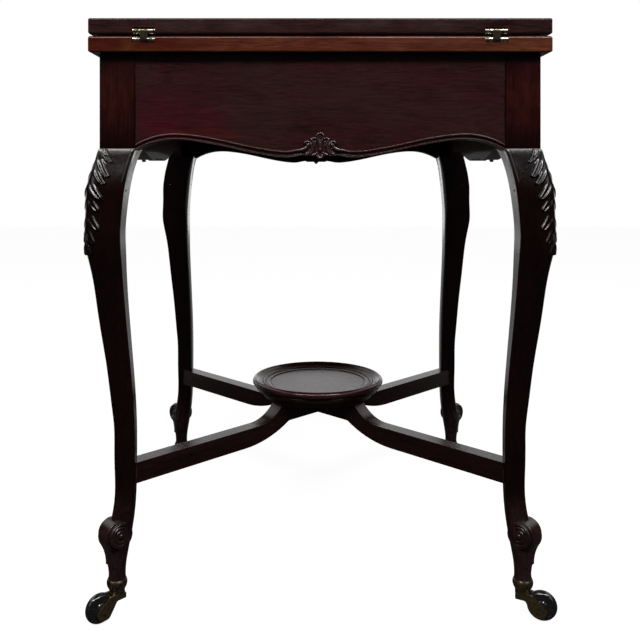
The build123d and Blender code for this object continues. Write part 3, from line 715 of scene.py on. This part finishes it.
def four_pieces(name, bm, material, places, replaced=None):
    # the same carving at four places, each a quarter turn on from the one before
    for place in places:
        piece = shown_piece(name + place, bm.copy(), material, "frame")
        if replaced:
            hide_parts(replaced)
        bmesh.ops.rotate(bm, cent=(0, 0, 0), matrix=quarter_turn, verts=bm.verts)
    bm.free()


carved_wood = polished_wood(
    "carved_mahogany", along_z, leg_tones, patch_share=0.35, wear=0.25, rough=(0.10, 0.20), level=0.5
)
four_pieces("knee_carving_", carve_knee(), carved_wood, corner_order)

# Foot scrolls: on each side of a foot the volute is cut as a flat cheek, with a sunk line that winds inwards
# round a raised eye. Apart from the axis height, the sizes are millimetres from the axis of the scroll.
scroll_axis_height = 0.1045
scroll_axis_out = 2.7
cheek_front = 15.4
cheek_back = 16.2
cheek_face = 15.2
cheek_turn_from = -0.3
cheek_turn_over = 0.8
cheek_root = 8.0
cheek_round = 1.8
cheek_columns = 96
cheek_rows = 40
cheek_wall_share = 0.1
merge_distance = 1e-6
volute_out = 0.4
volute_start = 13.0
volute_pitch = 4.4
volute_turns = 2.0
volute_windings = 3
volute_half = 1.2
volute_depth = 1.3
eye_radius = 2.9
eye_rise = 1.7


def volute_relief(out, up):
    # depth of the winding line, and height of the eye, at a place on the cheek
    out -= volute_out
    radius = math.hypot(out, up)
    turn = (math.atan2(up, out) / (2 * math.pi)) % 1
    rise = 0.0
    for winding in range(volute_windings):
        turns = winding + turn
        if turns <= volute_turns:
            off = abs(radius - volute_start + volute_pitch * turns) / volute_half
            if off < 1:
                rise -= volute_depth * math.cos(off * math.pi / 2) ** 2
    if radius < eye_radius:
        rise += eye_rise * math.sqrt(1 - (radius / eye_radius) ** 2)
    return rise


def carve_foot():
    # both cheeks of the rear right foot, each a disc round the scroll's axis with a wall down into the wood
    low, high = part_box("caster_cup_rear_right")
    outward = Vector((1, 1, 0)).normalized()
    middle = Vector(((low.x + high.x) / 2, (low.y + high.y) / 2, scroll_axis_height))
    middle += outward * scroll_axis_out / 1000
    both = bmesh.new()
    for side in (-1, 1):
        across = Vector((1, -1, 0)).normalized() * side
        bm = bmesh.new()
        bmesh.ops.create_grid(bm, x_segments=cheek_columns, y_segments=cheek_rows, size=0.5)
        for vertex in bm.verts:
            angle = 2 * math.pi * vertex.co.x
            part = vertex.co.y + 0.5
            front_share = eased((math.cos(angle) - cheek_turn_from) / cheek_turn_over)
            reach = cheek_back + (cheek_front - cheek_back) * front_share
            radius = reach * min(1, part / (1 - cheek_wall_share))
            edge = max(0, radius - reach + cheek_round) / cheek_round
            height = cheek_face - cheek_round * (1 - math.sqrt(max(0, 1 - edge * edge)))
            out = radius * math.cos(angle)
            up = radius * math.sin(angle)
            if edge == 0:
                height += volute_relief(out, up)
            down = max(0, part - 1 + cheek_wall_share) / cheek_wall_share
            height += (cheek_root - height) * down
            vertex.co = middle + outward * out / 1000 + across * height / 1000 + Vector((0, 0, up / 1000))
        bmesh.ops.remove_doubles(bm, verts=bm.verts, dist=merge_distance)
        bmesh.ops.holes_fill(bm, edges=[edge for edge in bm.edges if edge.is_boundary])
        bmesh.ops.recalc_face_normals(bm, faces=bm.faces)
        cheek = bpy.data.meshes.new("cheek")
        bm.to_mesh(cheek)
        bm.free()
        both.from_mesh(cheek)
        bpy.data.meshes.remove(cheek)
    return both


four_pieces("foot_scrolls_", carve_foot(), leg_wood, corner_order)

# Aprons: mahogany boards with the grain lengthwise, tenoned between the legs, bandsawn to a serpentine foot.
# A moulded bead follows the foot. The finish is patched red and brown, and a painted shadow darkens it under
# the top.
rail_dark = (0.0040, 0.0014, 0.0014, 1)
rail_light = (0.0155, 0.0050, 0.0050, 1)
apron_dark = (0.0085, 0.0020, 0.0030, 1)
apron_light = (0.0300, 0.0068, 0.0088, 1)
apron_patch = (0.0240, 0.0105, 0.0078, 1)
apron_tones = (apron_dark, apron_light, apron_patch)
apron_inside = 0.255
apron_woods = {
    "front": polished_wood(
        "apron_mahogany", along_x, apron_tones, patch_share=0.6, wear=0.9, raw_within=apron_inside
    ),
    "left": polished_wood(
        "side_apron_mahogany",
        along_y,
        apron_tones,
        patch_share=0.6,
        wear=0.9,
        shift=(0.4, 0.2, 0.1),
        raw_within=apron_inside,
    ),
}
apron_woods["back"] = apron_woods["front"]
apron_woods["right"] = apron_woods["left"]
# place, reach, tone and share: red on the left, two brown areas, orange red above the bead
front_stains = (
    ((-0.175, -0.27, 0.615), (0.090, 0.08, 0.050), (0.0430, 0.0040, 0.0085, 1), 0.75),
    ((-0.060, -0.27, 0.640), (0.150, 0.08, 0.060), (0.0230, 0.0115, 0.0105, 1), 0.55),
    ((0.110, -0.27, 0.640), (0.120, 0.08, 0.060), (0.0250, 0.0120, 0.0090, 1), 0.55),
    ((-0.150, -0.27, 0.597), (0.080, 0.08, 0.010), (0.0520, 0.0100, 0.0050, 1), 0.5),
)
# painted shadow: the dark band that the overhanging top casts along the upper edge of each apron
painted_shadow_under_top = ((0, 0, 0.712), (2.0, 2.0, 0.024), leg_dark, 1.0)
for centre, reach, color, share in front_stains:
    stain_and_shadow(apron_woods["front"], centre, reach, color, share, lines_along_x)
# the painted shadow under the top goes on the front and side apron materials
for side, lines in (("front", lines_along_x), ("left", lines_along_y)):
    stain_and_shadow(apron_woods[side], *painted_shadow_under_top, lines)
for side in sides:
    finish_node("apron_" + side, apron_woods[side])

# Carved ornament over the middle of each apron: a spade-shaped petal between two pairs of scrolls, with a
# drop below. The outer scrolls take up the ends of the bead. All sizes are millimetres on the apron's face.
ornament_cell = 0.4
ornament_half_width = 28.0
ornament_low = 566.5
ornament_high = 600.5
ornament_round = 1.6
ornament_least = 0.4
ornament_smoothing = 0.4
ornament_passes = 2
ornament_sunk = 0.0004
ground_edge = 0.25
apron_face = 0.2680
# each stroke of one half: its line, its half width and how far it stands out
ornament_strokes = (
    (
        ((0, 598.4), (2.6, 597.6), (4.1, 595.2), (3.7, 592.4), (2.5, 589.0), (1.9, 584.5), (1.3, 579.5),
         (0, 576.4)),
        1.5,
        5.8,
    ),
    (((0, 595.0), (0, 589.0), (0, 581.0)), 0.8, 4.8),
    (((2.8, 590.4), (5.0, 592.0), (8.5, 592.2), (10.8, 590.8)), 1.4, 5.0),
    (((10.8, 590.8), (9.4, 587.5), (8.2, 582.5), (8.6, 578.0), (10.5, 574.6), (13.0, 572.8)), 1.7, 5.2),
    (((6.0, 588.2), (5.0, 583.0), (4.4, 577.6), (2.6, 575.0)), 1.5, 3.9),
    (((27.5, 577.6), (23.5, 577.7), (20.0, 578.6)), 1.9, 5.0),
    (((21.5, 578.1), (17.4, 579.9), (15.5, 581.8), (14.9, 584.0)), 2.4, 5.4),
    (
        ((18.6, 586.2), (17.3, 588.0), (15.2, 588.5), (12.9, 587.2), (11.4, 584.6), (10.8, 581.6),
         (11.5, 578.0), (13.6, 574.4), (16.4, 572.4)),
        1.5,
        5.3,
    ),
    (((19.0, 572.6), (16.0, 571.9), (10.0, 571.9), (4.8, 573.2)), 0.9, 4.0),
    (((4.2, 574.4), (3.9, 571.8), (2.0, 569.2), (0, 567.9)), 0.95, 4.8),
)
# the ground that joins them, given in the same way
ornament_grounds = (
    (((0, 596.0), (0, 577.0)), 4.2, 3.6),
    (((0, 575.6), (15.0, 575.6)), 4.9, 3.1),
    (((3.0, 584.0), (14.0, 584.0)), 5.6, 2.4),
    (((5.0, 589.5), (9.0, 589.5)), 3.0, 2.4),
    (((0, 573.0), (0, 570.8)), 3.2, 3.6),
)


def way_off(u, z, points):
    # distance from a place to a line of points
    best = 1000.0
    for (u0, z0), (u1, z1) in zip(points, points[1:]):
        du = u1 - u0
        dz = z1 - z0
        part = max(0.0, min(1.0, ((u - u0) * du + (z - z0) * dz) / (du * du + dz * dz)))
        best = min(best, math.hypot(u - u0 - du * part, z - z0 - dz * part))
    return best


def ornament_relief(u, z):
    rise = 0.0
    for points, half, height in ornament_strokes:
        off = way_off(u, z, points) / half
        if off < 1:
            rise = max(rise, height - ornament_round * (1 - math.sqrt(1 - off * off)))
    for points, half, height in ornament_grounds:
        off = way_off(u, z, points) / half
        if off < 1:
            rise = max(rise, height * eased((1 - off) / ground_edge))
    return rise


def carve_ornament():
    # the front one: relief on a fine grid, the bare part cut away, then walls and a back sunk in the apron
    columns = round(2 * ornament_half_width / ornament_cell)
    rows = round((ornament_high - ornament_low) / ornament_cell)
    bm = bmesh.new()
    bmesh.ops.create_grid(bm, x_segments=columns, y_segments=rows, size=0.5)
    bare = set()
    for vertex in bm.verts:
        u = vertex.co.x * 2 * ornament_half_width
        z = ornament_low + (vertex.co.y + 0.5) * (ornament_high - ornament_low)
        rise = ornament_relief(abs(u), z)
        if rise < ornament_least:
            bare.add(vertex)
        vertex.co = (u / 1000, -apron_face - rise / 1000, z / 1000)
    waste = [face for face in bm.faces if any(vertex in bare for vertex in face.verts)]
    bmesh.ops.delete(bm, geom=waste, context="FACES")
    for turn in range(ornament_passes):
        bmesh.ops.smooth_vert(
            bm, verts=bm.verts, factor=ornament_smoothing, use_axis_x=False, use_axis_y=True, use_axis_z=False
        )
    border = [edge for edge in bm.edges if edge.is_boundary]
    walls = bmesh.ops.extrude_edge_only(bm, edges=border)["geom"]
    for vertex in walls:
        if isinstance(vertex, bmesh.types.BMVert):
            vertex.co.y = -apron_face + ornament_sunk
    back = [edge for edge in bm.edges if edge.is_boundary]
    bmesh.ops.triangle_fill(bm, edges=back, use_beauty=False)
    bmesh.ops.recalc_face_normals(bm, faces=bm.faces)
    return bm


ornament_wood = polished_wood(
    "shell_mahogany",
    along_x,
    (rail_dark, apron_light, leg_patch),
    patch_share=0.3,
    wear=0.3,
    rough=(0.22, 0.32),
    level=0.7,
)
four_pieces("apron_ornament_", carve_ornament(), ornament_wood, sides, replaced="apron_shells")

# Inside of the frame: corner blocks glued behind the legs, the pivot rail with its slot, and the stop peg.
# They are plain stained beech, left unpolished.
inner_dark = (0.050, 0.026, 0.015, 1)
inner_light = (0.150, 0.088, 0.052, 1)
inner_wood = polished_wood(
    "inner_beech",
    along_x,
    (inner_dark, inner_light, inner_dark),
    patch_share=0.4,
    wear=0.2,
    rough=(0.62, 0.80),
    level=0.05,
)
for node in ("corner_blocks", "pivot_rail", "stop_peg"):
    finish_node(node, inner_wood)

# Stretcher: two rails halved together and tenoned into the legs, grain along each rail.
# A turned dish with a moulded rim is screwed on the crossing.
rail_turns = {"a": (0, 0, -math.pi / 4), "b": (0, 0, math.pi / 4)}
for rail, turn in rail_turns.items():
    wood = polished_wood(
        "rail_" + rail + "_mahogany", turn, (rail_dark, rail_light, leg_patch), patch_share=0.3, wear=0.8
    )
    finish_node("stretcher_rail_" + rail, wood)
dish_tones = (rail_dark, apron_light, leg_patch)
dish_wood = polished_wood(
    "dish_mahogany", along_x, dish_tones, patch_share=0.4, wear=0.6, rough=(0.14, 0.24)
)
dish_foot = 0.2095
dish_steps = 128
dish_sharp = math.radians(32)
arc_parts = 6
# radius and height in millimetres, and how much the stretch to the next point bulges
dish_outline = (
    (0.0, 0.0, 0.00),
    (84.0, 0.0, 0.00),
    (84.0, 2.0, -0.22),
    (90.4, 6.8, 0.00),
    (90.4, 7.7, 0.00),
    (91.7, 7.7, 0.28),
    (94.1, 15.1, 0.00),
    (93.5, 15.7, 0.00),
    (97.5, 16.1, 0.18),
    (100.4, 19.3, 0.205),
    (95.6, 25.5, 0.05),
    (90.8, 22.8, -0.04),
    (86.4, 20.5, 0.00),
    (85.4, 19.3, 0.00),
    (84.8, 20.0, 0.30),
    (81.8, 19.7, 0.00),
    (80.6, 17.9, 0.00),
    (79.8, 18.5, 0.12),
    (74.0, 18.2, 0.00),
    (73.4, 16.8, 0.00),
    (72.4, 16.8, 0.00),
    (71.8, 17.5, 0.00),
    (70.8, 17.5, 0.00),
    (0.0, 17.5, 0.00),
)


def turned(outline, foot, steps):
    # the outline, with its curved stretches, spun once round the upright axis
    bm = bmesh.new()
    ring = []
    for (r0, z0, bulge), (r1, z1, _) in zip(outline, outline[1:]):
        parts = arc_parts if bulge else 1
        for k in range(parts):
            part = k / parts
            lift = 4 * part * (1 - part) * bulge
            r = r0 + (r1 - r0) * part + (z1 - z0) * lift
            z = z0 + (z1 - z0) * part - (r1 - r0) * lift
            ring.append(bm.verts.new((r / 1000, 0, foot + z / 1000)))
    ring.append(bm.verts.new((outline[-1][0] / 1000, 0, foot + outline[-1][1] / 1000)))
    edges = [bm.edges.new(pair) for pair in zip(ring, ring[1:])]
    bmesh.ops.spin(
        bm, geom=ring + edges, cent=(0, 0, 0), axis=(0, 0, 1), angle=2 * math.pi, steps=steps, use_merge=True
    )
    bmesh.ops.remove_doubles(bm, verts=bm.verts, dist=merge_distance)
    bmesh.ops.recalc_face_normals(bm, faces=bm.faces)
    return bm


dish = shown_piece("dish_turned", turned(dish_outline, dish_foot, dish_steps), dish_wood, "frame")
dish.data.set_sharp_from_angle(angle=dish_sharp)
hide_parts("dish")

# Casters: cup, horn and axle of cast and turned brass gone brown, rubbed bright on the edges.
# The wheels are black glazed china with worn treads.
brass_dark = (0.105, 0.066, 0.035, 1)
brass_light = (0.50, 0.37, 0.22, 1)
cup_dark = (0.050, 0.036, 0.022, 1)
cup_light = (0.40, 0.32, 0.22, 1)
china_black = (0.009, 0.009, 0.009, 1)
china_worn = (0.060, 0.050, 0.040, 1)
china_rough = (0.10, 0.42)
scuff_noise = (420, 5, 0.3, 0.65)
scuff_band = (0.56, 0.74)
tarnish_noise = (210, 5, 0.5, 0.6)
tarnish_band = (0.38, 0.66)
dull_band = (0.35, 0.65)
metal_edge = 0.0008
metal_dirt_reach = 0.003
metal_dirt_share = 0.8
metal_strength = 0.25
metal_depth = 0.0002


def aged_metal(name, dark, light, rough):
    # tarnish in clouds, bare metal on the edges and dirt in the hollows
    material, tree, surface = new_material(name)
    place = add(tree, "ShaderNodeTexCoord")
    tarnish = noise_of(tree, place.outputs["Object"], *tarnish_noise)
    worn = place_group(tree, worn_edges_group, Radius=metal_edge, Amount=1.0)
    dirt_and_shade = place_group(tree, dirt_and_shade_group, Reach=metal_dirt_reach)
    color = blend_of(tree, spread_of(tree, tarnish, *tarnish_band), dark, light)
    color = blend_of(tree, worn.outputs["Mask"], color, light)
    color = blend_of(tree, product_of(tree, dirt_and_shade.outputs["Mask"], metal_dirt_share), color, dark)
    join(tree, color, surface.inputs["Base Color"])
    bright_rough, dull_rough = rough
    roughness = spread_of(tree, tarnish, *dull_band, dull_rough, bright_rough)
    join(tree, roughness, surface.inputs["Roughness"])
    join(tree, bump_of(tree, tarnish, metal_strength, metal_depth), surface.inputs["Normal"])
    surface.inputs["Metallic"].default_value = 1.0
    return material


caster_brass = aged_metal("caster_brass", brass_dark, brass_light, (0.26, 0.50))
cup_brass = aged_metal("cup_brass", cup_dark, cup_light, (0.22, 0.45))
wheel_black, tree, surface = new_material("wheel_china")
place = add(tree, "ShaderNodeTexCoord")
scuffs = noise_of(tree, place.outputs["Object"], *scuff_noise)
scuff_mask = spread_of(tree, scuffs, *scuff_band)
join(tree, blend_of(tree, scuff_mask, china_black, china_worn), surface.inputs["Base Color"])
join(tree, spread_of(tree, scuff_mask, 0, 1, *china_rough), surface.inputs["Roughness"])
for corner in corners:
    finish_node("caster_cup_" + corner, cup_brass)
    for piece in ("horn", "axle"):
        finish_node("caster_" + piece + "_" + corner, caster_brass)
    finish_node("caster_wheel_" + corner, wheel_black)

# Pivot of the top: an iron plate with its stud, let into the board, and the washer, nut and screws.
# The screw that holds the dish is of the same dull iron.
iron_dark = (0.09, 0.075, 0.06, 1)
iron_light = (0.32, 0.31, 0.30, 1)
pivot_iron = aged_metal("pivot_iron", iron_dark, iron_light, (0.34, 0.55))
for node in ("pivot_plate", "pivot_washer", "pivot_nut", "pivot_screws", "dish_screw"):
    finish_node(node, pivot_iron)

# Top: a square board and four triangular leaves of redder mahogany, each leaf's grain along its long edge.
# The board's edge has faded to orange red, while the leaves' edges are greyer from handling.
board_dark = (0.0260, 0.0055, 0.0035, 1)
board_light = (0.0860, 0.0190, 0.0100, 1)
board_patch = (0.1000, 0.0330, 0.0130, 1)
leaf_dark = (0.0080, 0.0030, 0.0036, 1)
leaf_light = (0.0290, 0.0105, 0.0110, 1)
leaf_patch = (0.0300, 0.0130, 0.0100, 1)
leaf_rubbed = (0.0620, 0.0400, 0.0360, 1)
rubbed_places = (-0.17, -0.09, 0.05, 0.16)
rubbed_share = 0.22
board_tones = (board_dark, board_light, board_patch)
leaf_tones = (leaf_dark, leaf_light, leaf_patch)
board_wood = polished_wood("board_mahogany", along_x, board_tones, patch_share=0.5, wear=0.5)
# orange red at the left end, paler right of the middle
board_stains = (
    ((-0.24, -0.28, 0.718), (0.12, 0.05, 0.05), (0.0360, 0.0040, 0.0015, 1), 0.85),
    ((0.10, -0.28, 0.718), (0.12, 0.05, 0.03), (0.0900, 0.0260, 0.0150, 1), 0.7),
)
for centre, reach, color, share in board_stains:
    stain_and_shadow(board_wood, centre, reach, color, share, lines_along_x)
finish_node("top_board", board_wood)
for quarter, side in enumerate(sides):
    wood = polished_wood(
        "leaf_" + side + "_mahogany",
        along_y if quarter % 2 else along_x,
        leaf_tones,
        patch_share=0.6,
        wear=0.8,
        shift=(0, 0.1 * quarter, 0.3),
    )
    if side == "front":
        for x in rubbed_places:
            stain_and_shadow(wood, (x, -0.28, 0.731), (0.05, 0.05, 0.012), leaf_rubbed, rubbed_share, lines_along_x)
    finish_node("leaf_" + side, wood)

# Link hinges: cast brass plates and screws let into the edges, worn bright on the knuckles.
# The links with their riveted pins are duller, because nothing rubs them.
hinge_dark = (0.050, 0.038, 0.025, 1)
hinge_light = (0.74, 0.68, 0.56, 1)
link_dark = (0.022, 0.017, 0.010, 1)
link_light = (0.20, 0.165, 0.105, 1)
hinge_brass = aged_metal("hinge_brass", hinge_dark, hinge_light, (0.18, 0.38))
link_brass = aged_metal("link_brass", link_dark, link_light, (0.22, 0.42))
for node in ("board_hinge_plates", "board_hinge_screws"):
    finish_node(node, hinge_brass)
for side in sides:
    finish_node("leaf_hinges_" + side, hinge_brass)
    finish_node("hinge_links_" + side, link_brass)

# Baize: green wool cloth glued in shallow recesses on the board and on the folded-in face of each leaf.
# A little faded in clouds, with a short nap that catches the light.
baize_deep = (0.016, 0.070, 0.034, 1)
baize_faded = (0.034, 0.098, 0.048, 1)
baize_tips = (0.060, 0.150, 0.080, 1)
nap_noise = (2600, 3, 0.4, 0.7)
nap_band = (0.3, 0.7)
nap_share = 0.5
nap_strength = 0.5
nap_depth = 0.0005
fading_noise = (9, 3, 0.3)
fading_band = (0.35, 0.7)
sheet_cells = 44

baize_material, tree, surface = new_material("green_baize")
place = add(tree, "ShaderNodeTexCoord")
nap = noise_of(tree, place.outputs["Object"], *nap_noise)
fading = noise_of(tree, place.outputs["Object"], *fading_noise)
color = blend_of(tree, spread_of(tree, fading, *fading_band), baize_deep, baize_faded)
color = blend_of(tree, product_of(tree, spread_of(tree, nap, *nap_band), nap_share), color, baize_tips)
join(tree, color, surface.inputs["Base Color"])
join(tree, bump_of(tree, nap, nap_strength, nap_depth), surface.inputs["Normal"])
surface.inputs["Roughness"].default_value = 0.95
surface.inputs["Specular IOR Level"].default_value = 0.15
surface.inputs["Sheen Weight"].default_value = 0.25
surface.inputs["Sheen Roughness"].default_value = 0.5


def lining(node, body, quarter, cut):
    # one cloth: a grid the size of the recess, for a leaf cut to a triangle with its point to the middle
    low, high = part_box(node)
    middle = (low + high) / 2
    size = high - low
    bm = bmesh.new()
    bmesh.ops.create_grid(bm, x_segments=sheet_cells, y_segments=sheet_cells, size=0.5)
    bmesh.ops.transform(bm, matrix=Matrix.Diagonal((size.x, size.y, 1, 1)), verts=bm.verts)
    bmesh.ops.translate(bm, vec=(middle.x, middle.y, low.z), verts=bm.verts)
    area = None
    if cut:
        out = Matrix.Rotation(quarter * math.pi / 2, 3, "Z") @ Vector((0, -1, 0))
        along = Vector((-out.y, out.x, 0))
        apex = middle - out * min(size.x, size.y) / 2
        for hand in (1, -1):
            slope = (along * hand - out).normalized()
            cloth_parts = bm.verts[:] + bm.edges[:] + bm.faces[:]
            bmesh.ops.bisect_plane(bm, geom=cloth_parts, plane_co=apex, plane_no=slope, clear_outer=True)
        area = sum(face.calc_area() for face in bm.faces)
    bmesh.ops.solidify(bm, geom=bm.faces[:], thickness=-size.z)
    bmesh.ops.recalc_face_normals(bm, faces=bm.faces)
    mesh = bpy.data.meshes.new(node + "_cloth")
    bm.to_mesh(mesh)
    bm.free()
    mesh.materials.append(baize_material)
    cloth = bpy.data.objects.new(node + "_cloth", mesh)
    bpy.context.collection.objects.link(cloth)
    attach(cloth, body)
    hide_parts(node)


lining("baize_centre", "top", 0, cut=False)
for quarter, side in enumerate(sides):
    lining("baize_" + side, "leaf_" + side, quarter, cut=True)
